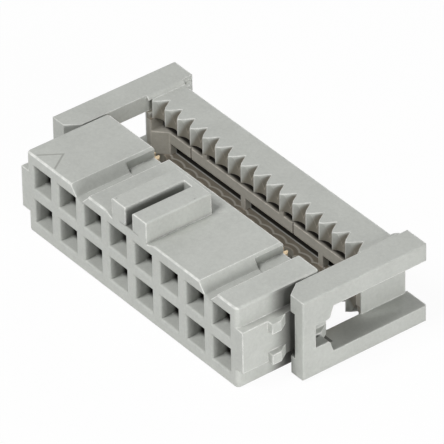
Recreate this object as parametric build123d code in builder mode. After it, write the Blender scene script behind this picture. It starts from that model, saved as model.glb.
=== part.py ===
"""Ribbon-cable socket, two rows of eight contacts, with its cover raised.

The mating face lies in the XZ plane, X runs along the contact rows, +Y points to the cable
side and +Z is the keyed side. All lengths are in millimetres, all angles in degrees.
"""
from build123d import *
from math import sqrt
import os

os.makedirs("parts", exist_ok=True)

# Contact grid
columns = 8                  # contacts in one row
pitch = 2.54                 # contact to contact, and row to row
row_half = (columns - 1) * pitch / 2
row_z = pitch / 2
wire_pitch = pitch / 2       # the ribbon lays one wire on every half pitch
wires = 2 * columns
wire_row_half = (wires - 1) * wire_pitch / 2

# Pin openings: a square mouth with a lead-in, then a narrower throat
opening = 1.72
opening_lead = 0.1
throat = 1.2
throat_start = 3.9
rear_wall = 1.3              # solid behind the throat

# Housing block
end_wall = 0.7               # from the last opening to the end face
top_wall = 0.82
bottom_wall = 0.87
housing_half = row_half + opening / 2 + end_wall
housing_top = row_z + opening / 2 + top_wall
housing_bottom = row_z + opening / 2 + bottom_wall
housing_depth = 6.3
throat_depth = housing_depth - rear_wall
corner_radius = 0.3
front_edge_radius = 0.18

# Grooves along the keyed side, each midway between two columns
groove_columns = (1, 6)      # the groove follows this column
groove_wall = 0.82           # upper edge of the steep wall, from the middle of the groove
groove_flank = 0.93          # upper edge of the sloping flank
groove_foot = 0.23           # half the width of the floor
groove_depth = 0.8
groove_lip = 0.1             # drop at the upper edge of the flank and at the foot of the wall
notch_depth = 2.2            # the steep wall is cut upright this far in from the cable side
notch_wall = 0.68            # from the middle of the groove

# Polarising key, two ribs joined at the back
key_half = 1.7
key_slot_half = 0.36
key_length = 4.95
key_bridge = 0.47            # what joins the ribs at the back
key_height = 1.3
key_edge_radius = 0.09

# Shallow ditch round the key, with sloping sides
ditch_front = 0.7            # width beside the key at the mating face
ditch_back = 1.1
ditch_depth = 0.24
ditch_run = 0.95             # length of its ramp behind the key
ditch_overrun = 0.1          # the cut starts this far in front of the mating face

# Triangular mark at the first contact
mark_from_front = 0.2
mark_from_end = 0.85
mark_width = 1.85
mark_length = 1.35
mark_depth = 0.05

# Running clearances between the cover and the housing, and the travel of the cover
side_clearance = 0.1
rail_clearance = 0.15
lug_clearance = 0.18
cable_gap = 0.5              # left between comb and housing when the cover is pressed home
travel = 2.5                 # from the raised cover to the cover pressed home

# End rails and their latch lugs
rail_reach = 0.55
rail_half_height = 1.5
lug_reach = 0.45
lug_height = 0.72
lug_start = 1.9              # square catching face of the front lugs
lug_ramp = 0.7               # each lug slopes down to the rail over this length

# Contacts, one strip each: tuning fork for the pin, heel, fork for the wire
sheet = 0.3
contact_clearance = 0.04
spring_clearance = 0.2       # from the springs to the walls of the mouth
spring_width = 0.3
spring_pinch = 0.24          # half the gap where the springs grip a pin
spring_mouth = 0.4           # half the gap at their tips
spring_start = 1.7
spring_grip = 2.2
spring_root = 3.4
heel_length = 0.5
fork_z = 1.1
fork_half = 0.45
fork_slot_half = 0.14
fork_slot_length = 1.1
fork_reach = 1.12            # how far the fork stands out of the housing
fork_bevel = 0.2
heel_half = throat / 2 - contact_clearance
fork_tip = housing_depth + fork_reach

# Comb bar of the cover
slot_play = 0.05             # from a fork to the outer wall of its slot
slot_end_play = 0.15         # from the last fork to the near end of its slot
slot_spare = 0.5             # the same at the far end
slot_end_depth = 1.28        # left behind the fork tips when the cover is pressed home
slot_top = fork_z + sheet / 2 + slot_play
rail_half = 0.39             # half the height of the rail between the two slots
tooth_height = 1.3           # height of one comb
comb_half_height = slot_top + tooth_height
comb_front = housing_depth + cable_gap + travel
slot_rear = fork_tip + travel + slot_end_depth
back_wall = 0.95
comb_rear = slot_rear + back_wall
comb_edge_radius = 0.15
bar_skin = 0.1               # the bar reaches this far past the inner faces of the arms
plain_end = 0.4              # the bar's front is flat for this far at each end

# Wire grooves: round scallops between sharp teeth, flared at their outer end
scallop_radius = 0.75
scallop_reach = 0.52         # how far a scallop runs back from the tips of the teeth
flare_reach = 1.12           # the flare runs back to a point
flare_half = 0.7             # half its width at the tips of the teeth
flare_height = 0.9
flare_taper = 18             # its sides lean in by this angle
groove_overrun = 0.05        # the cut starts this far in front of the teeth

# Rail between the forks' slots, its posts and its two ticks
rail_setback = 0.8
bevel_end = 0.51             # flat end of the bar beside the bevelled one
bevel_run = 0.84
post_width = 0.42
post_steps = (-0.75, 2.25)   # places of the lower posts, in contact pitches from the middle
tick_width = 0.12
tick_depth = 0.1
tick_steps = (-2.8, 1.2)

# Arms of the cover
arm_inner = housing_half + side_clearance
arm_thickness = 1.87
arm_outer = arm_inner + arm_thickness
arm_step = 0.275             # the arms stand this much higher than the comb bar
arm_half_height = comb_half_height + arm_step
flange = 1.2                 # thickness of the upper and lower flange
window_half_height = arm_half_height - flange
arm_bar = 0.96               # depth of the cross bar that joins the flanges in front
window_front = lug_start + travel
arm_front = window_front - arm_bar
arm_tail = 0.77              # the flanges end this far behind the comb bar
arm_rear = comb_rear + arm_tail
arm_nose = 0.7               # how far the front inner corner is cut back
arm_edge_radius = 0.12
arm_root_radius = 0.55
stop_length = 0.85           # raised stops in the front corners of the window
stop_height = 0.85
stop_radius = 0.3
stop_lean = 0.2              # the rear ends of the stops lean back this far
channel_half_height = rail_half_height + rail_clearance
channel_face = housing_half + rail_reach + lug_reach + lug_clearance


# Housing: the moulded block
with BuildPart() as housing:
    with BuildSketch(Plane.XY.offset(-housing_bottom)):
        with Locations((0, housing_depth / 2)):
            Rectangle(2 * housing_half, housing_depth)
    extrude(amount=housing_bottom + housing_top)
    fillet(housing.edges().filter_by(Axis.Z), corner_radius)
    mating_face = housing.faces().sort_by(Axis.Y)[0]
    fillet(mating_face.edges().filter_by(Axis.X), front_edge_radius)

    # grooves along the keyed side, the same section at both places
    groove_floor = housing_top - groove_depth
    for column in groove_columns:
        middle = (column + 1) * pitch - row_half - pitch / 2
        with BuildSketch(Plane.XZ):
            with BuildLine():
                Polyline(
                    (middle - groove_wall, housing_top),
                    (middle - groove_foot, groove_floor + groove_lip),
                    (middle + groove_foot, groove_floor),
                    (middle + groove_flank, housing_top - groove_lip),
                    (middle + groove_flank, housing_top),
                    close=True,
                )
            make_face()
        extrude(amount=-housing_depth, mode=Mode.SUBTRACT)
        with BuildSketch(Plane.XY.offset(groove_floor)):
            with Locations((middle - notch_wall, housing_depth)):
                Rectangle(notch_wall + groove_foot, notch_depth, align=(Align.MIN, Align.MAX))
        extrude(amount=groove_depth, mode=Mode.SUBTRACT)

    # ditch beside and behind the key, with sloping sides; the key stands in the middle of it
    with BuildSketch(Plane.XY.offset(housing_top - ditch_depth)):
        with BuildLine():
            Polyline(
                (-key_half, -ditch_overrun),
                (-key_half, key_length),
                (key_half, key_length),
                (key_half, -ditch_overrun),
                close=True,
            )
        make_face()
    with BuildSketch(Plane.XY.offset(housing_top)):
        with BuildLine():
            Polyline(
                (-key_half - ditch_front, -ditch_overrun),
                (-key_half - ditch_back, key_length + ditch_run),
                (key_half + ditch_back, key_length + ditch_run),
                (key_half + ditch_front, -ditch_overrun),
                close=True,
            )
        make_face()
    loft(ruled=True, mode=Mode.SUBTRACT)

    # polarising key with its slot, open at the mating face
    with BuildSketch(Plane.XY.offset(housing_top - ditch_depth)):
        with Locations((0, key_length / 2)):
            Rectangle(2 * key_half, key_length)
    extrude(amount=key_height + ditch_depth)
    with BuildSketch(Plane.XY.offset(housing_top)):
        Rectangle(2 * key_slot_half, key_length - key_bridge, align=(Align.CENTER, Align.MIN))
    extrude(amount=key_height, mode=Mode.SUBTRACT)
    key_top = housing.faces().sort_by(Axis.Z)[-1]
    fillet(key_top.edges().filter_by(GeomType.LINE), key_edge_radius)

    # triangular mark at the first contact
    with BuildSketch(Plane.XY.offset(housing_top - mark_depth)):
        with Locations((mark_from_end + mark_width / 2 - housing_half, mark_from_front)):
            with BuildLine(mode=Mode.PRIVATE) as mark:
                Polyline((-mark_width / 2, 0), (mark_width / 2, 0), (0, mark_length), close=True)
            make_face(mark.edges())
    extrude(amount=mark_depth, mode=Mode.SUBTRACT)

    # rails on both ends, each with two lugs in front of the raised cover's bar and two behind it
    with BuildSketch(Plane.YZ.offset(-(housing_half + rail_reach))):
        with Locations((housing_depth / 2, 0)):
            Rectangle(housing_depth, 2 * rail_half_height)
    extrude(amount=2 * (housing_half + rail_reach))
    rail_face = housing_half + rail_reach
    for lug_z in (-rail_half_height, rail_half_height - lug_height):
        with BuildSketch(Plane.XY.offset(lug_z)):
            for y_start, y_end in (
                (lug_start, arm_front - lug_clearance),
                (window_front + lug_clearance, housing_depth),
            ):
                with BuildLine():
                    Polyline(
                        (rail_face, y_start),
                        (rail_face + lug_reach, y_start),
                        (rail_face + lug_reach, y_end - lug_ramp),
                        (rail_face, y_end),
                        close=True,
                    )
                make_face()
            mirror(about=Plane.YZ)
        extrude(amount=lug_height)

    # pin openings with their lead-in and throat
    with BuildSketch(Plane.XZ):
        with GridLocations(pitch, pitch, columns, 2):
            Rectangle(opening, opening)
    extrude(amount=-throat_start, mode=Mode.SUBTRACT)
    with BuildSketch(Plane.XZ):
        with GridLocations(pitch, pitch, columns, 2):
            Rectangle(opening + 2 * opening_lead, opening + 2 * opening_lead)
    extrude(amount=-opening_lead, taper=45, mode=Mode.SUBTRACT)
    with BuildSketch(Plane.XZ.offset(-throat_start)):
        with GridLocations(pitch, pitch, columns, 2):
            Rectangle(throat, throat)
    extrude(amount=throat_start - throat_depth, mode=Mode.SUBTRACT)

    # slots that let the wire forks out at the back
    for row in (-1, 1):
        with BuildSketch(Plane.XZ.offset(-throat_depth)):
            with Locations((-row * wire_pitch / 2, row * fork_z)):
                with GridLocations(pitch, pitch, columns, 1):
                    Rectangle(2 * (fork_half + contact_clearance), sheet + 2 * contact_clearance)
        extrude(amount=-rear_wall, mode=Mode.SUBTRACT)
housing.part.label = "housing"
export_step(housing.part, "parts/housing.step")


# The space of one wire groove in the upper comb: a straight scallop with a pointed flare at its end
groove_mouth = comb_front - groove_overrun
scallop_tip = comb_front + scallop_reach
scallop_half = sqrt(scallop_radius**2 - (scallop_radius - scallop_tip + groove_mouth) ** 2)
with BuildPart() as wire_groove:
    with BuildSketch(Plane.XY.offset(slot_top)):
        with BuildLine():
            ThreePointArc((-scallop_half, groove_mouth), (0, scallop_tip), (scallop_half, groove_mouth))
            Line((scallop_half, groove_mouth), (-scallop_half, groove_mouth))
        make_face()
    extrude(amount=tooth_height)
    with BuildSketch(Plane.XY.offset(comb_half_height)):
        with BuildLine():
            Polyline(
                (-flare_half, groove_mouth),
                (0, comb_front + flare_reach),
                (flare_half, groove_mouth),
                close=True,
            )
        make_face()
    extrude(amount=-flare_height, taper=flare_taper)

# One arm of the cover, on the +X side
with BuildPart() as arm:
    with BuildSketch(Plane.XY.offset(-arm_half_height)):
        with BuildLine():
            Polyline(
                (arm_inner, window_front),
                (arm_inner + arm_nose, arm_front),
                (arm_outer, arm_front),
                (arm_outer, arm_rear),
                (arm_inner, arm_rear),
                close=True,
            )
        make_face()
    extrude(amount=2 * arm_half_height)
    outer_face = arm.faces().sort_by(Axis.X)[-1]
    fillet(outer_face.edges(), arm_edge_radius)

    # window between the flanges, open to the rear
    with BuildSketch(Plane.YZ.offset(arm_inner)):
        with Locations((window_front, 0)):
            Rectangle(arm_rear - window_front, 2 * window_half_height, align=(Align.MIN, Align.CENTER))
    extrude(amount=arm_thickness, mode=Mode.SUBTRACT)

    # channel for the rail and its lugs under the front bar
    with BuildSketch(Plane.YZ.offset(arm_inner)):
        with Locations((arm_front, 0)):
            Rectangle(arm_bar, 2 * channel_half_height, align=(Align.MIN, Align.CENTER))
    extrude(amount=channel_face - arm_inner, mode=Mode.SUBTRACT)

    # raised stops in the front corners of the window
    with BuildSketch(Plane.YZ.offset(channel_face)):
        with BuildLine():
            stop_z = window_half_height - stop_height
            stop_end = window_front + stop_length
            Polyline(
                (window_front, window_half_height),
                (window_front, stop_z),
                (stop_end, stop_z),
            )
            RadiusArc((stop_end, stop_z), (stop_end + stop_radius, stop_z + stop_radius), -stop_radius)
            Polyline(
                (stop_end + stop_radius, stop_z + stop_radius),
                (stop_end + stop_radius + stop_lean, window_half_height),
                (window_front, window_half_height),
            )
        make_face()
        mirror(about=Plane.XZ)
    extrude(amount=arm_thickness - channel_face + arm_inner)

# Cover: the comb bar that presses the ribbon onto the forks, between its two latching arms
with BuildPart() as cover:
    bar_half = arm_inner + bar_skin
    with BuildSketch(Plane.XY.offset(-comb_half_height)):
        with Locations((0, comb_front)):
            Rectangle(2 * bar_half, comb_rear - comb_front, align=(Align.CENTER, Align.MIN))
    extrude(amount=2 * comb_half_height)
    rear_face = cover.faces().sort_by(Axis.Y)[-1]
    fillet(rear_face.edges().filter_by(Axis.X), comb_edge_radius)

    # pointed teeth of the upper comb, and of the lower one turned half round
    with GridLocations(wire_pitch, wire_pitch, wires + 2, 1):
        add(wire_groove.part, mode=Mode.SUBTRACT)
        add(wire_groove.part, rotation=(0, 180, 0), mode=Mode.SUBTRACT)

    # plain ends of the bar in the windows of the arms
    with BuildSketch(Plane.XY.offset(-window_half_height)):
        with Locations((bar_half, comb_front)):
            Rectangle(plain_end, rail_setback, align=(Align.MAX, Align.MIN))
        mirror(about=Plane.YZ)
    extrude(amount=2 * window_half_height)

    # recess between the combs, with bevelled ends
    with BuildSketch(Plane.XY.offset(-slot_top)):
        with BuildLine():
            Polyline(
                (bevel_end - bar_half, comb_front),
                (bevel_end + bevel_run - bar_half, comb_front + rail_setback),
                (bar_half - bevel_end - bevel_run, comb_front + rail_setback),
                (bar_half - bevel_end, comb_front),
                close=True,
            )
        make_face()
    extrude(amount=2 * slot_top, mode=Mode.SUBTRACT)

    # slots for the forks, bridged by the posts
    slot_start = wire_row_half + fork_half + slot_end_play
    slot_end = wire_row_half - wire_pitch + fork_half + slot_spare
    for row in (-1, 1):
        with BuildSketch(Plane.XZ.offset(-comb_front)):
            with Locations((row * (slot_end - slot_start) / 2, row * (slot_top + rail_half) / 2)):
                Rectangle(slot_start + slot_end, slot_top - rail_half)
            with Locations(*[(-row * step * pitch, row * (slot_top + rail_half) / 2) for step in post_steps]):
                Rectangle(post_width, slot_top - rail_half, mode=Mode.SUBTRACT)
        extrude(amount=comb_front - slot_rear, mode=Mode.SUBTRACT)

    # ticks on the front of the rail
    with BuildSketch(Plane.XZ.offset(-(comb_front + rail_setback))):
        with Locations(*[(step * pitch, 0) for step in tick_steps]):
            Rectangle(tick_width, 2 * rail_half)
    extrude(amount=-tick_depth, mode=Mode.SUBTRACT)

    # arms
    add(arm.part)
    add(mirror(arm.part, about=Plane.YZ, mode=Mode.PRIVATE))

    # rounded roots behind the bar, which carry its end faces back almost to the ends of the flanges
    root_start = arm_inner - arm_root_radius
    root_front = comb_rear - comb_edge_radius
    with BuildSketch(Plane.XY.offset(-comb_half_height)):
        with BuildLine():
            Polyline(
                (root_start, comb_rear),
                (root_start, root_front),
                (bar_half, root_front),
                (bar_half, comb_rear + arm_root_radius),
                (arm_inner, comb_rear + arm_root_radius),
            )
            RadiusArc((arm_inner, comb_rear + arm_root_radius), (root_start, comb_rear), -arm_root_radius)
        make_face()
        mirror(about=Plane.YZ)
    extrude(amount=2 * comb_half_height)

    # rounded steps from the top and bottom of the bar up to the flanges
    with BuildSketch(Plane.XZ.offset(-comb_front)):
        with BuildLine():
            Line((arm_inner - arm_step, comb_half_height), (arm_inner, comb_half_height))
            Line((arm_inner, comb_half_height), (arm_inner, arm_half_height))
            RadiusArc((arm_inner, arm_half_height), (arm_inner - arm_step, comb_half_height), -arm_step)
        make_face()
        mirror(about=Plane.YZ)
        mirror(about=Plane.XY)
    extrude(amount=comb_front - comb_rear)
cover.part.label = "cover"
export_step(cover.part, "parts/cover.step")

# One contact strip of the upper row, centred on its pin
with BuildPart() as strip:
    spring_half = opening / 2 - spring_clearance
    with BuildSketch(Plane.XY.offset(row_z - sheet / 2)):
        with BuildLine():
            Polyline(
                (-heel_half, throat_depth),
                (-heel_half, throat_start),
                (-spring_half, spring_root),
                (-spring_half, spring_start),
                (-spring_mouth, spring_start),
                (-spring_pinch, spring_grip),
                (spring_width - spring_half, spring_root),
                (spring_half - spring_width, spring_root),
                (spring_pinch, spring_grip),
                (spring_mouth, spring_start),
                (spring_half, spring_start),
                (spring_half, spring_root),
                (heel_half, throat_start),
                (heel_half, throat_depth),
                close=True,
            )
        make_face()
    extrude(amount=sheet)

    # heel that steps from the pin's level to the wire's level
    with BuildSketch(Plane.XY.offset(fork_z - sheet / 2)):
        with Locations((0, throat_depth)):
            Rectangle(2 * heel_half, heel_length, align=(Align.CENTER, Align.MAX))
    extrude(amount=row_z - fork_z)

    # fork for the wire, half a wire pitch to the side
    with BuildSketch(Plane.XY.offset(fork_z - sheet / 2)):
        with Locations((-wire_pitch / 2, throat_depth)):
            Rectangle(2 * fork_half, fork_tip - throat_depth, align=(Align.CENTER, Align.MIN))
        fork_corners = vertices().group_by(Axis.Y)[-1]
        chamfer(fork_corners, fork_bevel)
        with Locations((-wire_pitch / 2, fork_tip)):
            Rectangle(
                2 * fork_slot_half,
                fork_slot_length,
                align=(Align.CENTER, Align.MAX),
                mode=Mode.SUBTRACT,
            )
    extrude(amount=sheet)

# The sixteen contacts; the lower row is the upper one turned half round
for row_name, turn in (("upper", 0), ("lower", 180)):
    for column in range(columns):
        with BuildPart() as contact:
            with Locations(Location((column * pitch - row_half, 0, 0), (0, turn, 0))):
                add(strip.part)
        contact.part.label = f"contact_{row_name}_{column + 1}"
        export_step(contact.part, f"parts/{contact.part.label}.step")
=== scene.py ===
"""Dresses the ribbon-cable socket: grey moulded plastic with rubbed edges and painted edge highlights,
painted shade in its hollows, grooves and gaps, gilt contacts, studio light.
"""
from math import cos, pi, radians, sin

import bmesh
import bpy
from mathutils import Matrix, Vector


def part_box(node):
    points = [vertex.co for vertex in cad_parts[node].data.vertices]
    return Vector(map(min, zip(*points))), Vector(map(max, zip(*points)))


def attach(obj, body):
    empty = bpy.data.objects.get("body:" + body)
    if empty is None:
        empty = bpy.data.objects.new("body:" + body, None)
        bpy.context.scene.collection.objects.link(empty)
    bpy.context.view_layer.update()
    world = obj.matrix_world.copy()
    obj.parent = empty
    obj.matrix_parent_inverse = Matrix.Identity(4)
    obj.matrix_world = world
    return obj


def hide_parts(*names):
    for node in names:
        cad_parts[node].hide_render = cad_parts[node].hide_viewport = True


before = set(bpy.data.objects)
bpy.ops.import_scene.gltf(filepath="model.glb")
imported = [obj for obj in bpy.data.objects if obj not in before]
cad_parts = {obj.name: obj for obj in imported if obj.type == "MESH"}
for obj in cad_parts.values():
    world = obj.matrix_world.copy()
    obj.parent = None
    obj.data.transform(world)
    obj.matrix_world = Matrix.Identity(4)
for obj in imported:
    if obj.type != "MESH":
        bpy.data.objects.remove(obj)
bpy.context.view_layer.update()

MM = 0.001
HOUSING_LOW, HOUSING_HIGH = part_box("housing")
HOUSING_BACK = HOUSING_HIGH[1]

# Mouldings: faces that meet at a smaller angle than this shade as one, and corners this close are merged
FOLD_ANGLE = radians(24)
MERGE_DISTANCE = 0.0005 * MM
PANEL_WEIGHT = 100           # how far flat panels outweigh the fillets beside them

# The comb: its teeth stand between these planes, and its grooves are arcs about a line in front of them
HALF_WIRE_PITCH = 1.27 / 2 * MM
COMB_FRONT = 9.25 * MM
COMB_BACK = 10.5 * MM
COMB_BAR_BACK = 12.15 * MM
COMB_HALF_WIDTH = 10.53 * MM
COMB_RIM = 2.6 * MM          # height of the grooves' outer ends
COMB_INNER = 1.305 * MM      # height of their inner ends, where the recess begins
GROOVE_CENTRE = 9.07 * MM
GROOVE_SIDES = (0.36 * MM, 0.68 * MM)      # from a tooth's middle: where the shade starts and is full
GROOVE_RIM_FADE = (0.02 * MM, 0.2 * MM)    # the same below the rim
GROOVE_SPREAD = 0.42         # how much wider the shade grows for each length down

# The ledges between the grooves and the recess, under painted shade but for a light line along an arc
# behind each groove, a painted highlight
LEDGE_LOWEST = 1.25 * MM
LEDGE_ARC = 1.08 * MM
LEDGE_ARC_HALF_LINE = 0.06 * MM
LEDGE_ARC_FADE = 0.14 * MM   # where the shade outside the arc is full

# Rows of hollows that fall into shadow: where they lie, and where the shade starts, is full and ends
PIN_OPENINGS = {
    "Half width": 10.0 * MM,
    "Lowest": -2.14 * MM,
    "Highest": 2.14 * MM,
    "Lit": 0.85 * MM,
    "Dark": 1.25 * MM,
    "End": HOUSING_BACK - 0.2 * MM,
}
UPPER_SLOT = {
    "Half width": 10.2 * MM,
    "Lowest": 0.38 * MM,
    "Highest": 1.32 * MM,
    "Lit": 10.15 * MM,
    "Dark": 10.4 * MM,
    "End": COMB_BAR_BACK - 0.7 * MM,
}
LOWER_SLOT = {
    "Half width": 10.2 * MM,
    "Lowest": -1.32 * MM,
    "Highest": 0.38 * MM,
    "Lit": 10.5 * MM,
    "Dark": 10.62 * MM,
    "End": COMB_BAR_BACK - 0.7 * MM,
}
MOUTH_MARGIN = 0.15 * MM     # how far the region without edge wear and painted highlight reaches round the pin openings

# The narrow gap between the housing's ends and the front bars of the cover's arms
END_WALL = 10.4 * MM
RAIL_FACE = 11.05 * MM
BAR_FRONT = 3.44 * MM
GAP_SHADE = 0.72
GAP_SHADE_START = BAR_FRONT - 1.3 * MM
GAP_SHADE_FADE = (BAR_FRONT + 1.9 * MM, BAR_FRONT + 1.2 * MM)    # where it is gone again and still full

# The channels in the arms, which the housing's rails run in
CHANNEL_FACE = 11.66 * MM
CHANNEL_HALF_HEIGHT = 1.7 * MM
CHANNEL_SHADE_FADE = (BAR_FRONT + 0.02 * MM, BAR_FRONT + 0.3 * MM)

# The key, its slot and the two dimples in its top, as places across and along the housing
KEY_HALF_WIDTH = 1.7 * MM
KEY_TOP = HOUSING_HIGH[2]
KEY_FOOT = 2.95 * MM
KEY_TOP_SKIN = KEY_TOP - 0.02 * MM
KEY_SLOT_HALF_WIDTH = 0.375 * MM
KEY_SLOT_LENGTH = 4.48 * MM
KEY_SLOT_FLOOR = KEY_FOOT - 0.5 * MM
KEY_SLOT_MOUTH_FADE = (0.02 * MM, 0.12 * MM)
KEY_SLOT_FULL_SHADE = KEY_FOOT + 0.1 * MM
KEY_SLOT_SHADE = 0.62
DIMPLES = ((-1.48 * MM, 0.23 * MM), (1.52 * MM, 3.83 * MM))
DIMPLE_RADIUS = 0.075 * MM
DIMPLE_CORE = 0.3 * DIMPLE_RADIUS
DIMPLE_SHADE = 0.4

# Triangular mark at the first contact, drawn as two faint lines of painted shade along its shallow moulded
# sides, whose edge and core are shares of its size
MARK_MIDDLE = -8.675 * MM
MARK_HALF_WIDTH = 0.925 * MM
MARK_FRONT = 0.2 * MM
MARK_LENGTH = 1.35 * MM
MARK_END = MARK_FRONT + MARK_LENGTH + 0.1 * MM
MARK_PLANE = 2.85 * MM       # the faces above it bear the mark
MARK_LINE_EDGE = 0.12
MARK_LINE_CORE = 0.04

# Colours
HOUSING_PLASTIC = (184, 186, 181)
# the cover's grey is the housing's grey made a little darker, as painted shade
COVER_PLASTIC = (180, 182, 177)
# pale edges: partly rubbed wear, partly painted highlight
RUBBED_AND_HIGHLIGHT = (250, 250, 246)
# painted shade: the near-black put in the depth of hollows, slots, gaps and dimples
PAINTED_HOLLOW_SHADE = (46, 43, 39)
GROOVE_SHADE = (186, 178, 168)
RECESS_SHADE = (226, 219, 212)
LEDGE_SHADE = (186, 179, 171)
MARK_SHADE = (214, 213, 211)
GILT = (212, 192, 160)
PLAIN_WHITE = (1, 1, 1, 1)
TABLE_WHITE = (0.9, 0.9, 0.9, 1)

# Noise patterns: scale, detail and roughness
CLOUDS = (420.0, 3.0, 0.6)
SPECKS = (4200.0, 3.0, 0.8)
RUBBED_PATCHES = (1500.0, 3.0, 0.7)
GRAIN_DETAIL = 2.0
GRAIN_ROUGHNESS = 0.7
GRAIN_IN_ROUGHNESS = 0.12    # what the grain adds to the roughness of the surface

# Finishes
MOULDED_FINISH = {"Clouding": 0.24, "Speckle": 0.32, "Grain size": 9000.0, "Roughness": 0.42}
GILT_FINISH = {"Clouding": 0.2, "Speckle": 0.1, "Grain size": 14000.0, "Roughness": 0.4}
GRAIN_STRENGTH = 0.35
GRAIN_DEPTH = 0.006 * MM
PLASTIC_IOR = 1.5
PLASTIC_SPECULAR = 0.35

# Rubbed edges with painted highlight: radius of the rounding, how far rubbed wear and painted highlight
# lighten the edges, and how far painted highlight lightens the upper fillets
HOUSING_EDGE_RADIUS = 0.15 * MM
HOUSING_WEAR_AND_HIGHLIGHT = 0.85
HOUSING_FILLET_HIGHLIGHT = 0.75
COVER_EDGE_RADIUS = 0.14 * MM
COVER_WEAR_AND_HIGHLIGHT = 0.6
ROUNDING_SAMPLES = 8
WEAR_AND_HIGHLIGHT_COSINES = (0.996, 0.9)  # turn of the rounded normal at which the rubbed wear and painted highlight start and are full
FILLET_UPWARD = (0.2, 0.5)   # the same for how far a fillet faces up
FILLET_ALONG = (0.15, 0.4)   # and along the housing
PATCH_EDGES = (0.35, 0.65)   # the same for the noise that makes the wear and painted highlight patchy
LEAST_RUBBED = 0.4

# The camera, fitted to the grid of the contacts in the photograph
VIEW_AZIMUTH = radians(52.775)
VIEW_ELEVATION = radians(36.029)
VIEW_ROLL = radians(-1.099)
VIEW_DISTANCE = 363.7 * MM
VIEW_CENTRE = Vector((0, 0, -2.75 * MM))
VIEW_SIDE = -5.486 * MM      # how far the centre lies to the right of the picture's middle
VIEW_UP = -4.992 * MM        # and how far above it
VIEW_SENSOR = 36             # millimetres, and so is the lens
VIEW_LENS = 487.1
VIEW_NEAREST = 0.01
VIEW_FURTHEST = 10

# The studio
LAMP_AIM = Vector((0, 6 * MM, 0))
LAMP_DISTANCE = 0.3
SURROUND_LEVEL = 0.13        # light from all round on the object
FLOOR_HALF_SIZE = 0.5
FLOOR_GAP = 0.005 * MM       # keeps the floor clear of the undersides that rest on it
FLOOR_WHITENESS = 0.95       # how much of the floor shows as plain white, without its shadow


def linear(colour):
    """Colour as a screen shows it, 0 to 255, in the linear values that a shader takes."""
    return tuple(((c / 255 + 0.055) / 1.055) ** 2.4 if c > 10 else c / 3294.6 for c in colour) + (1,)


def feed(tree, value, socket):
    """A link, if the value is another node's output, or else a plain value."""
    if isinstance(value, bpy.types.NodeSocket):
        tree.links.new(value, socket)
    else:
        socket.default_value = value


def calc(tree, operation, *values):
    """The output of a Math node."""
    node = tree.nodes.new("ShaderNodeMath")
    node.operation = operation
    for value, socket in zip(values, node.inputs):
        feed(tree, value, socket)
    return node.outputs[0]


def product(tree, first, *others):
    """Values multiplied one after the other."""
    for value in others:
        first = calc(tree, "MULTIPLY", first, value)
    return first


def size_of(tree, value):
    """A value without its sign."""
    return calc(tree, "ABSOLUTE", value)


def between(tree, value, low, high):
    """1 where the value lies between two others."""
    return product(tree, calc(tree, "GREATER_THAN", value, low), calc(tree, "LESS_THAN", value, high))


def distance(tree, sideways, ahead):
    """How far a point lies that is so far to the side and so far ahead."""
    squares = calc(tree, "ADD", product(tree, sideways, sideways), product(tree, ahead, ahead))
    return calc(tree, "SQRT", squares)


def ramp(tree, value, start, end, low=0.0, high=1.0):
    """Goes smoothly from low to high while the value goes from start to end."""
    node = tree.nodes.new("ShaderNodeMapRange")
    node.interpolation_type = "SMOOTHSTEP"
    given = {"Value": value, "From Min": start, "From Max": end, "To Min": low, "To Max": high}
    for name, number in given.items():
        feed(tree, number, node.inputs[name])
    return node.outputs["Result"]


def blend(tree, factor, first, second, way="MIX"):
    """The colour of a Mix node, from the first at 0 to the second at 1."""
    node = tree.nodes.new("ShaderNodeMix")
    node.data_type = "RGBA"
    node.blend_type = way
    # its colours come after the sockets for numbers and vectors
    for value, socket in ((factor, node.inputs[0]), (first, node.inputs[6]), (second, node.inputs[7])):
        feed(tree, value, socket)
    return node.outputs[2]


def shade_tinted(tree, mask, colour, tint):
    """The colour, multiplied by a tint of painted shade where the mask is 1."""
    return blend(tree, mask, colour, blend(tree, 1.0, colour, linear(tint), "MULTIPLY"))


def darkened(tree, mask, colour):
    """The colour, with painted shade as dark as a hollow where the mask is 1."""
    return blend(tree, mask, colour, linear(PAINTED_HOLLOW_SHADE))


def noise(tree, scale, detail, roughness):
    """Noise over Object coordinates."""
    place = tree.nodes.new("ShaderNodeTexCoord")
    node = tree.nodes.new("ShaderNodeTexNoise")
    feed(tree, place.outputs["Object"], node.inputs["Vector"])
    feed(tree, scale, node.inputs["Scale"])
    feed(tree, detail, node.inputs["Detail"])
    feed(tree, roughness, node.inputs["Roughness"])
    return node.outputs["Fac"]


def object_place(tree):
    """The three Object coordinates of a point."""
    place = tree.nodes.new("ShaderNodeTexCoord")
    parts = tree.nodes.new("ShaderNodeSeparateXYZ")
    feed(tree, place.outputs["Object"], parts.inputs[0])
    return parts.outputs["X"], parts.outputs["Y"], parts.outputs["Z"]


def new_group(name, inputs, outputs):
    """An empty shader group with named inputs and outputs, and its two end nodes."""
    group = bpy.data.node_groups.new(name, "ShaderNodeTree")
    for socket, value in inputs:
        kind = "NodeSocketFloat" if isinstance(value, float) else "NodeSocketVector"
        if isinstance(value, tuple) and len(value) == 4:
            kind = "NodeSocketColor"
        made = group.interface.new_socket(socket, in_out="INPUT", socket_type=kind)
        made.default_value = value
    for socket, kind in outputs:
        group.interface.new_socket(socket, in_out="OUTPUT", socket_type=kind)
    return group, group.nodes.new("NodeGroupInput").outputs, group.nodes.new("NodeGroupOutput").inputs


def use_group(tree, group, values):
    """The outputs of a shader group that is placed with these values."""
    node = tree.nodes.new("ShaderNodeGroup")
    node.node_tree = group
    for name, value in values.items():
        feed(tree, value, node.inputs[name])
    return node.outputs


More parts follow.
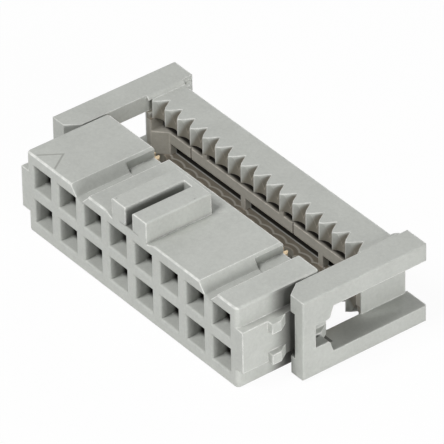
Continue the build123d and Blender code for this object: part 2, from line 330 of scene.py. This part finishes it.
def moulded_grain():
    """Slow clouding, fine speckle and grain of moulded plastic."""
    group, given, result = new_group(
        "moulded grain",
        [
            ("Colour", (0.5, 0.5, 0.5, 1)),
            ("Clouding", 0.1),
            ("Speckle", 0.1),
            ("Grain size", 9000.0),
            ("Roughness", 0.5),
        ],
        [("Colour", "NodeSocketColor"), ("Roughness", "NodeSocketFloat"), ("Height", "NodeSocketFloat")],
    )
    clouds = calc(group, "SUBTRACT", noise(group, *CLOUDS), 0.5)
    specks = calc(group, "SUBTRACT", noise(group, *SPECKS), 0.5)
    change = calc(group, "MULTIPLY_ADD", clouds, given["Clouding"], 1.0)
    change = calc(group, "MULTIPLY_ADD", specks, given["Speckle"], change)
    tint = group.nodes.new("ShaderNodeVectorMath")
    tint.operation = "SCALE"
    feed(group, given["Colour"], tint.inputs[0])
    feed(group, change, tint.inputs["Scale"])
    grain = noise(group, given["Grain size"], GRAIN_DETAIL, GRAIN_ROUGHNESS)
    rough = calc(group, "MULTIPLY_ADD", grain, GRAIN_IN_ROUGHNESS, given["Roughness"])
    feed(group, tint.outputs["Vector"], result["Colour"])
    feed(group, rough, result["Roughness"])
    feed(group, grain, result["Height"])
    return group


def edge_wear_and_highlight():
    """Uneven mask of rubbed wear and painted highlight on edges, where the rounded normal leaves the face's
    own, and of painted highlight on upper fillets.
    """
    group, given, result = new_group(
        "edge wear and highlight",
        [("Rounded normal", (0.0, 0.0, 0.0)), ("Strength", 1.0), ("Fillets", 0.0)],
        [("Mask", "NodeSocketFloat")],
    )
    normal = group.nodes.new("ShaderNodeNewGeometry").outputs["Normal"]
    turn = group.nodes.new("ShaderNodeVectorMath")
    turn.operation = "DOT_PRODUCT"
    feed(group, given["Rounded normal"], turn.inputs[0])
    feed(group, normal, turn.inputs[1])
    edges = ramp(group, turn.outputs["Value"], *WEAR_AND_HIGHLIGHT_COSINES)
    facing = group.nodes.new("ShaderNodeSeparateXYZ")
    feed(group, normal, facing.inputs[0])
    upward = ramp(group, facing.outputs["Z"], *FILLET_UPWARD)
    lengthwise = ramp(group, size_of(group, facing.outputs["Y"]), *FILLET_ALONG)
    fillets = product(group, upward, lengthwise, given["Fillets"])
    turned = calc(group, "MAXIMUM", edges, fillets)
    uneven = ramp(group, noise(group, *RUBBED_PATCHES), *PATCH_EDGES, low=LEAST_RUBBED)
    feed(group, product(group, turned, uneven, given["Strength"]), result["Mask"])
    return group


def hollow_shade():
    """Daylight in a row of narrow hollows: 1 at their mouths, 0 in their dark depth."""
    group, given, result = new_group(
        "hollow shade",
        [(name, 0.0) for name in PIN_OPENINGS],
        [("Light", "NodeSocketFloat")],
    )
    across, along, up = object_place(group)
    in_width = calc(group, "LESS_THAN", size_of(group, across), given["Half width"])
    in_height = between(group, up, given["Lowest"], given["Highest"])
    depth = ramp(group, along, given["Lit"], given["Dark"])
    before_end = calc(group, "LESS_THAN", along, given["End"])
    shade = product(group, in_width, in_height, depth, before_end)
    feed(group, calc(group, "SUBTRACT", 1.0, shade), result["Light"])
    return group


def in_hollows(tree, shade_group, colour, hollows):
    """The colour with every given row of hollows sunk in shade."""
    for hollow in hollows:
        light = use_group(tree, shade_group, hollow)["Light"]
        colour = blend(tree, light, linear(PAINTED_HOLLOW_SHADE), colour)
    return colour


def away_from_mouths(tree, strength):
    """The strength, but nothing round the mouths of the pin openings and just under the key."""
    across, along, up = object_place(tree)
    half_width = PIN_OPENINGS["Half width"]
    lowest = PIN_OPENINGS["Lowest"] - MOUTH_MARGIN
    highest = PIN_OPENINGS["Highest"] + MOUTH_MARGIN
    in_width = between(tree, across, -half_width, half_width)
    at_mouths = product(tree, in_width, between(tree, up, lowest, highest))
    below_key = calc(tree, "LESS_THAN", up, KEY_FOOT + MOUTH_MARGIN)
    under_key = product(tree, between(tree, across, -KEY_HALF_WIDTH, KEY_HALF_WIDTH), below_key)
    in_front = calc(tree, "LESS_THAN", along, PIN_OPENINGS["Lit"])
    near = product(tree, calc(tree, "MAXIMUM", at_mouths, under_key), in_front)
    return product(tree, calc(tree, "SUBTRACT", 1.0, near), strength)


def first_contact_mark(tree, colour):
    """The two slanting sides of the triangular mark, as faint lines of painted shade."""
    across, along, up = object_place(tree)
    sideways = size_of(tree, calc(tree, "SUBTRACT", across, MARK_MIDDLE))
    forward = calc(tree, "SUBTRACT", along, MARK_FRONT)
    share_of_width = calc(tree, "DIVIDE", sideways, MARK_HALF_WIDTH)
    share_of_length = calc(tree, "DIVIDE", forward, MARK_LENGTH)
    share = calc(tree, "ADD", share_of_width, share_of_length)
    from_side = size_of(tree, calc(tree, "SUBTRACT", share, 1.0))
    line = ramp(tree, from_side, MARK_LINE_EDGE, MARK_LINE_CORE)
    on_panel = calc(tree, "GREATER_THAN", up, MARK_PLANE)
    in_length = between(tree, along, MARK_FRONT, MARK_END)
    return shade_tinted(tree, product(tree, line, on_panel, in_length), colour, MARK_SHADE)


def key_shade(tree, colour):
    """Shade that deepens towards the foot of the key's slot, and the two dimples in the key's top."""
    across, along, up = object_place(tree)
    in_slot = product(
        tree,
        between(tree, across, -KEY_SLOT_HALF_WIDTH, KEY_SLOT_HALF_WIDTH),
        ramp(tree, along, *KEY_SLOT_MOUTH_FADE),
        calc(tree, "LESS_THAN", along, KEY_SLOT_LENGTH),
        between(tree, up, KEY_SLOT_FLOOR, KEY_TOP_SKIN),
    )
    depth = ramp(tree, up, KEY_TOP, KEY_SLOT_FULL_SHADE, high=KEY_SLOT_SHADE)
    colour = darkened(tree, product(tree, in_slot, depth), colour)
    on_top = calc(tree, "GREATER_THAN", up, KEY_TOP_SKIN)
    for dimple_across, dimple_along in DIMPLES:
        sideways = calc(tree, "SUBTRACT", across, dimple_across)
        ahead = calc(tree, "SUBTRACT", along, dimple_along)
        dot = ramp(tree, distance(tree, sideways, ahead), DIMPLE_RADIUS, DIMPLE_CORE, high=DIMPLE_SHADE)
        colour = darkened(tree, product(tree, dot, on_top), colour)
    return colour


def end_gap_shade(tree, colour):
    """Shade on the housing's end walls and rails that deepens towards the front bars."""
    across, along, _ = object_place(tree)
    on_end = between(tree, size_of(tree, across), END_WALL, RAIL_FACE)
    depth = ramp(tree, along, GAP_SHADE_START, BAR_FRONT, high=GAP_SHADE)
    before_window = ramp(tree, along, *GAP_SHADE_FADE)
    return darkened(tree, product(tree, on_end, depth, before_window), colour)


def channel_shade(tree, colour):
    """Shade in the channels of the cover's arms, which the housing's rails run in."""
    across, along, up = object_place(tree)
    in_width = between(tree, size_of(tree, across), END_WALL, CHANNEL_FACE)
    in_height = calc(tree, "LESS_THAN", size_of(tree, up), CHANNEL_HALF_HEIGHT)
    beside_housing = calc(tree, "LESS_THAN", along, HOUSING_BACK)
    depth = ramp(tree, along, *CHANNEL_SHADE_FADE, high=GAP_SHADE)
    return darkened(tree, product(tree, in_width, in_height, beside_housing, depth), colour)


def comb_shade(tree, colour):
    """Painted shade in the wire grooves and in the recess between the two combs, with painted light arcs on
    its ledges.
    """
    across, along, up = object_place(tree)
    height = size_of(tree, up)
    in_depth = between(tree, along, COMB_FRONT, COMB_BACK)
    in_comb = product(tree, in_depth, between(tree, across, -COMB_HALF_WIDTH, COMB_HALF_WIDTH))
    from_tooth = calc(tree, "PINGPONG", across, HALF_WIRE_PITCH)
    from_groove = calc(tree, "SUBTRACT", HALF_WIRE_PITCH, from_tooth)

    # the grooves: dark in their middle at the rim, and over their whole width further down
    drop = calc(tree, "SUBTRACT", COMB_RIM, height)
    spread = calc(tree, "MULTIPLY_ADD", drop, GROOVE_SPREAD, from_tooth)
    groove = product(
        tree,
        ramp(tree, spread, *GROOVE_SIDES),
        ramp(tree, drop, *GROOVE_RIM_FADE),
        in_comb,
        calc(tree, "GREATER_THAN", height, COMB_INNER),
    )
    colour = shade_tinted(tree, groove, colour, GROOVE_SHADE)

    # the recess, and on its ledges the arcs
    recess = product(tree, in_comb, calc(tree, "LESS_THAN", height, COMB_INNER))
    colour = shade_tinted(tree, recess, colour, RECESS_SHADE)
    radius = distance(tree, from_groove, calc(tree, "SUBTRACT", along, GROOVE_CENTRE))
    inside_arc = ramp(tree, radius, LEDGE_ARC, LEDGE_ARC - LEDGE_ARC_HALF_LINE)
    outside_arc = ramp(tree, radius, LEDGE_ARC + LEDGE_ARC_HALF_LINE, LEDGE_ARC + LEDGE_ARC_FADE)
    ledge = product(tree, in_comb, between(tree, height, LEDGE_LOWEST, COMB_INNER))
    beside_arc = calc(tree, "MAXIMUM", inside_arc, outside_arc)
    return shade_tinted(tree, product(tree, ledge, beside_arc), colour, LEDGE_SHADE)


def new_material(name):
    """A material with its node tree and its Principled shader."""
    material = bpy.data.materials.new(name)
    material.use_nodes = True
    return material, material.node_tree, material.node_tree.nodes["Principled BSDF"]


def grey_plastic(name, groups, plastic, edge_radius, wear, fillets=0.0, spared=None):
    """Matt moulded grey with edges lightened by rubbed wear and painted highlight, but for a spared region;
    gives back its colour too.
    """
    grain_group, wear_and_highlight_group = groups
    material, tree, shader = new_material(name)
    grain = use_group(tree, grain_group, {"Colour": linear(plastic), **MOULDED_FINISH})
    rounded = tree.nodes.new("ShaderNodeBevel")
    rounded.samples = ROUNDING_SAMPLES
    feed(tree, edge_radius, rounded.inputs["Radius"])
    strength = spared(tree, wear) if spared else wear
    mask = use_group(tree, wear_and_highlight_group, {
        "Rounded normal": rounded.outputs["Normal"], "Strength": strength, "Fillets": fillets,
    })["Mask"]
    colour = blend(tree, mask, grain["Colour"], linear(RUBBED_AND_HIGHLIGHT))
    bump = tree.nodes.new("ShaderNodeBump")
    feed(tree, GRAIN_STRENGTH, bump.inputs["Strength"])
    feed(tree, GRAIN_DEPTH, bump.inputs["Distance"])
    feed(tree, grain["Height"], bump.inputs["Height"])
    feed(tree, rounded.outputs["Normal"], bump.inputs["Normal"])
    feed(tree, bump.outputs["Normal"], shader.inputs["Normal"])
    feed(tree, grain["Roughness"], shader.inputs["Roughness"])
    feed(tree, PLASTIC_IOR, shader.inputs["IOR"])
    feed(tree, PLASTIC_SPECULAR, shader.inputs["Specular IOR Level"])
    return material, tree, shader, colour


def housing_grey(groups, shade_group):
    """The housing's plastic, with painted shade in the depth of the pin openings."""
    material, tree, shader, colour = grey_plastic(
        "housing_grey", groups, HOUSING_PLASTIC, HOUSING_EDGE_RADIUS, HOUSING_WEAR_AND_HIGHLIGHT,
        fillets=HOUSING_FILLET_HIGHLIGHT, spared=away_from_mouths,
    )
    colour = end_gap_shade(tree, key_shade(tree, first_contact_mark(tree, colour)))
    colour = in_hollows(tree, shade_group, colour, (PIN_OPENINGS,))
    feed(tree, colour, shader.inputs["Base Color"])
    return material


def cover_grey(groups, shade_group):
    """The cover's plastic, with painted shade between the teeth and painted black shade in the slots."""
    material, tree, shader, colour = grey_plastic(
        "cover_grey", groups, COVER_PLASTIC, COVER_EDGE_RADIUS, COVER_WEAR_AND_HIGHLIGHT,
    )
    colour = channel_shade(tree, comb_shade(tree, colour))
    colour = in_hollows(tree, shade_group, colour, (UPPER_SLOT, LOWER_SLOT))
    feed(tree, colour, shader.inputs["Base Color"])
    return material


def gilt_metal(grain_group):
    """Thin gold over a copper alloy, a little dull."""
    material, tree, shader = new_material("gilt_contact")
    grain = use_group(tree, grain_group, {"Colour": linear(GILT), **GILT_FINISH})
    feed(tree, grain["Colour"], shader.inputs["Base Color"])
    feed(tree, grain["Roughness"], shader.inputs["Roughness"])
    feed(tree, 1.0, shader.inputs["Metallic"])
    return material


def add_object(name, data):
    """An object in the scene that shows the data."""
    thing = bpy.data.objects.new(name, data)
    bpy.context.scene.collection.objects.link(thing)
    return thing


def dressed_copy(node_name, piece_name, material):
    """A copy of a CAD piece, merged, that shades smooth on its fillets and sharp at its folds."""
    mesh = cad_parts[node_name].data.copy()
    mesh.name = piece_name
    shape = bmesh.new()
    shape.from_mesh(mesh)
    bmesh.ops.remove_doubles(shape, verts=shape.verts, dist=MERGE_DISTANCE)
    for face in shape.faces:
        face.smooth = True
    for edge in shape.edges:
        edge.smooth = edge.calc_face_angle(0.0) < FOLD_ANGLE
    shape.to_mesh(mesh)
    shape.free()
    mesh.materials.clear()
    mesh.materials.append(material)
    piece = add_object(piece_name, mesh)
    shading = piece.modifiers.new("flat panels", "WEIGHTED_NORMAL")
    shading.weight = PANEL_WEIGHT
    shading.keep_sharp = True
    return piece


def place_camera():
    """The camera, turned and aimed as in the photograph."""
    back = Vector((
        sin(VIEW_AZIMUTH) * cos(VIEW_ELEVATION),
        -cos(VIEW_AZIMUTH) * cos(VIEW_ELEVATION),
        sin(VIEW_ELEVATION),
    ))
    level = Vector((cos(VIEW_AZIMUTH), sin(VIEW_AZIMUTH), 0))
    upright = back.cross(level)
    right = level * cos(VIEW_ROLL) + upright * sin(VIEW_ROLL)
    up = upright * cos(VIEW_ROLL) - level * sin(VIEW_ROLL)
    camera = add_object("camera", bpy.data.cameras.new("camera"))
    eye = back * VIEW_DISTANCE - right * VIEW_SIDE - up * VIEW_UP + VIEW_CENTRE
    turned = Matrix((right, up, back)).transposed().to_4x4()
    camera.matrix_world = Matrix.Translation(eye) @ turned
    camera.data.sensor_width = VIEW_SENSOR
    camera.data.lens = VIEW_LENS
    camera.data.clip_start = VIEW_NEAREST
    camera.data.clip_end = VIEW_FURTHEST
    bpy.context.scene.camera = camera


def soft_box(name, direction, size, level):
    """A square lamp aimed at the object; level is what it adds to a facing white surface."""
    lamp = bpy.data.lights.new(name, "AREA")
    lamp.shape = "SQUARE"
    lamp.size = size
    lamp.energy = level * (pi * LAMP_DISTANCE) ** 2
    holder = add_object(name, lamp)
    towards = Vector(direction).normalized()
    holder.location = towards * LAMP_DISTANCE + LAMP_AIM
    holder.rotation_euler = towards.to_track_quat("Z", "Y").to_euler()


def seen_directly(tree):
    """1 for the camera's own rays and for what mirrors and clear parts pass on to it."""
    path = tree.nodes.new("ShaderNodeLightPath").outputs
    direct = calc(tree, "MAXIMUM", path["Is Camera Ray"], path["Is Glossy Ray"])
    return calc(tree, "MAXIMUM", direct, path["Is Transmission Ray"])


def mixed_shader(tree, factor, first, second, output):
    """Joins two shader nodes, from the first at 0 to the second at 1, and feeds a new output node."""
    choice = tree.nodes.new("ShaderNodeMixShader")
    for value, socket in zip((factor, first.outputs[0], second.outputs[0]), choice.inputs):
        feed(tree, value, socket)
    feed(tree, choice.outputs[0], tree.nodes.new(output).inputs[0])


def glowing_white(tree, kind, strength):
    """A Background or Emission node that gives plain white light."""
    node = tree.nodes.new(kind)
    feed(tree, PLAIN_WHITE, node.inputs["Color"])
    feed(tree, strength, node.inputs["Strength"])
    return node


def studio_surround():
    """Even white light from all round, and plain white behind the object."""
    world = bpy.data.worlds.new("studio")
    world.use_nodes = True
    tree = world.node_tree
    tree.nodes.clear()
    glow = glowing_white(tree, "ShaderNodeBackground", SURROUND_LEVEL)
    plain = glowing_white(tree, "ShaderNodeBackground", 1.0)
    mixed_shader(tree, seen_directly(tree), glow, plain, "ShaderNodeOutputWorld")
    bpy.context.scene.world = world


def pale_floor(height):
    """A white table top that still takes a faint shadow."""
    shape = bmesh.new()
    bmesh.ops.create_grid(shape, x_segments=1, y_segments=1, size=FLOOR_HALF_SIZE)
    bmesh.ops.translate(shape, verts=shape.verts, vec=(0, 0, height))
    mesh = bpy.data.meshes.new("floor")
    shape.to_mesh(mesh)
    shape.free()
    material, tree, _ = new_material("floor_white")
    tree.nodes.clear()
    paint = tree.nodes.new("ShaderNodeBsdfDiffuse")
    feed(tree, TABLE_WHITE, paint.inputs["Color"])
    plain = glowing_white(tree, "ShaderNodeEmission", 1.0)
    share = product(tree, seen_directly(tree), FLOOR_WHITENESS)
    mixed_shader(tree, share, paint, plain, "ShaderNodeOutputMaterial")
    mesh.materials.append(material)
    add_object("floor", mesh)


grain_group = moulded_grain()
groups = (grain_group, edge_wear_and_highlight())
shade_group = hollow_shade()
contact_metal = gilt_metal(grain_group)

housing = dressed_copy("housing", "housing_moulding", housing_grey(groups, shade_group))
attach(housing, "housing_body")
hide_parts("housing")

cover = dressed_copy("cover", "cover_moulding", cover_grey(groups, shade_group))
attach(cover, "cover_body")
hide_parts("cover")

for name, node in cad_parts.items():
    if name.startswith("contact_"):
        node.data.materials.clear()
        node.data.materials.append(contact_metal)

place_camera()
studio_surround()
pale_floor(HOUSING_LOW[2] - FLOOR_GAP)
soft_box("key_light", direction=(-0.1, -1.0, 1.4), size=0.12, level=0.76)
soft_box("end_light", direction=(1.0, -0.05, 0.2), size=0.14, level=0.7)
soft_box("back_light", direction=(-0.5, 1.0, 0.2), size=0.2, level=0.45)
bpy.context.scene.view_settings.view_transform = "Standard"
